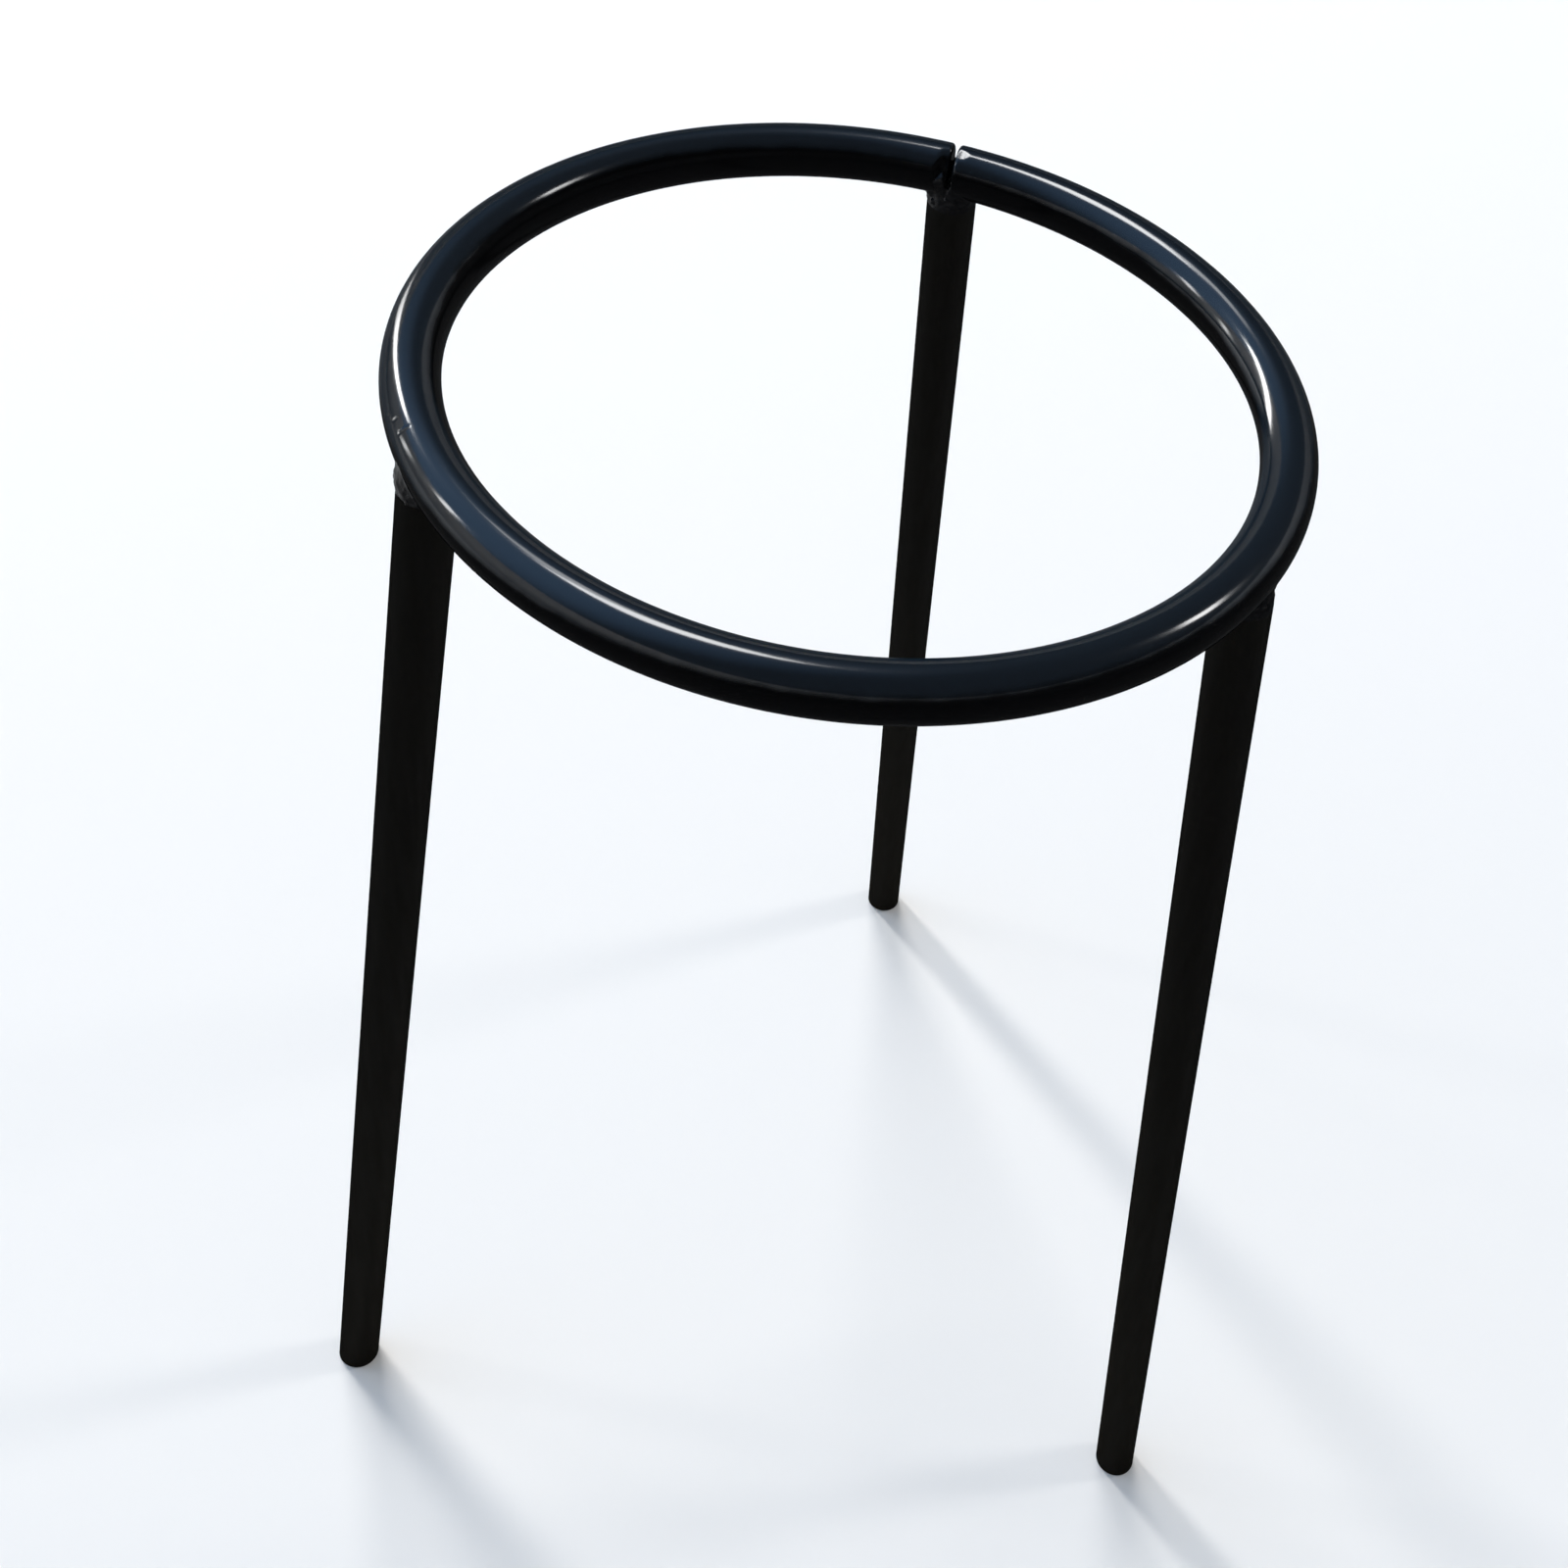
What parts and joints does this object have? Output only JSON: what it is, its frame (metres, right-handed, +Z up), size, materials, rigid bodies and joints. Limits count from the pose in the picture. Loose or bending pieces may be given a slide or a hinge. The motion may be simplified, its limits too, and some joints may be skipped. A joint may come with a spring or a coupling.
{
  "type": "lab tripod stand",
  "caption": "Steel rod tripod stand: a round top ring on splayed straight legs, for holding glassware or a wire gauze above a small burner.",
  "frame": {"origin": "middle of the box round the whole stand, on the bench under the feet; the ring's axis is upright and stands 1.8 mm towards -X and 12 mm towards -Y of it", "axes": "+Z up along the ring's axis; -Y to the front, midway between the two front legs; +X to the right seen from the front; the third leg and the ring's seam are towards +Y"},
  "size_m": [0.1068, 0.104, 0.148],
  "materials": {
    "ring_enamel": "gloss black enamel with a blue-black cast on steel rod",
    "leg_enamel": "black enamel with a warm cast on drawn steel rod",
    "weld_enamel": "gloss black enamel over an uneven weld bead"
  },
  "bodies": {
    "root": {"ring": "ring_enamel", "leg_left": "leg_enamel", "leg_right": "leg_enamel", "leg_back": "leg_enamel", "weld_left": "weld_enamel", "weld_right": "weld_enamel", "weld_back": "weld_enamel"}
  },
  "joints": []
}
